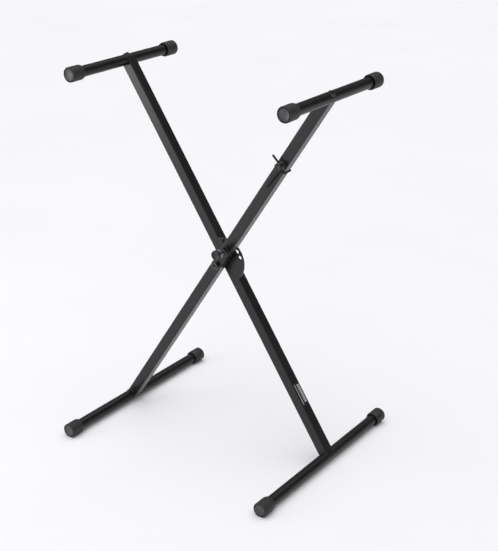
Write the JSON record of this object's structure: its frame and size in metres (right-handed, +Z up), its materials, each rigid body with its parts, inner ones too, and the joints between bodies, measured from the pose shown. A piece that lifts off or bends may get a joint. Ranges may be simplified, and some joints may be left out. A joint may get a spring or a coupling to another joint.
{
  "type": "folding keyboard stand",
  "caption": "Single-X folding keyboard stand: two crossed square arms on a pivot, round top and base tubes with rubber caps, a clutch bracket and a sprung lock pin.",
  "frame": {"origin": "on the floor, midway between the two base tubes, under the pivot and at the middle of the round tubes' length", "axes": "+Z up, Y along the round tubes and the pivot bolt, with +Y towards the rear leg, X across the opening, with +X towards the front arm's top"},
  "size_m": [0.5852, 0.496, 0.8671],
  "materials": {
    "powder_coat": "satin black powder coat",
    "gloss_enamel": "semi-gloss black enamel",
    "rubber": "matte moulded",
    "bare_steel": "plain turned steel",
    "black_fastener": "black oxide",
    "zinc_plate": "bright zinc plate",
    "nylon": "black nylon",
    "spring_wire": "drawn spring wire",
    "black_plastic": "fine moulded grain",
    "label_film": "printed vinyl, plain"
  },
  "bodies": {
    "rear_leg": {"rear_arm": "powder_coat", "rear_arm_plug": "bare_steel", "rear_tube_bolt": "black_fastener", "rear_top_tube": "gloss_enamel", "rear_base_tube": "gloss_enamel", "rear_top_cap_front": "rubber", "rear_top_cap_back": "rubber", "rear_base_cap_front": "rubber", "rear_base_cap_back": "rubber", "rear_pivot_sleeve": "bare_steel", "clutch_bracket": "powder_coat", "pivot_spacer": "nylon", "pivot_bolt": "black_fastener", "pivot_washers": "black_fastener", "pivot_nut": "black_fastener", "rear_label": "label_film"},
    "front_leg": {"front_arm": "powder_coat", "front_arm_plug": "bare_steel", "front_tube_bolt": "black_fastener", "front_top_tube": "gloss_enamel", "front_base_tube": "gloss_enamel", "front_top_cap_front": "rubber", "front_top_cap_back": "rubber", "front_base_cap_front": "rubber", "front_base_cap_back": "rubber", "front_pivot_sleeve": "bare_steel", "pin_housing": "powder_coat", "housing_cap": "black_fastener", "lock_spring": "spring_wire", "strap_peg": "black_plastic", "peg_stud": "bare_steel", "cleat_wires": "black_fastener"},
    "lock_pin": {"lock_pin": "zinc_plate", "pull_knob": "black_plastic"}
  },
  "joints": [
    {"name": "fold", "type": "hinge", "parent": "rear_leg", "child": "front_leg", "pos_m": [0, 0, 0.43354], "axis": [0, 1, 0], "range_deg": [-62.5, 35]},
    {"name": "lock_pin_slide", "type": "slide", "parent": "front_leg", "child": "lock_pin", "axis": [0, 1, 0], "range_m": [0, 0.004], "stiffness_N_per_m": 800, "springref_m": 0.012}
  ]
}
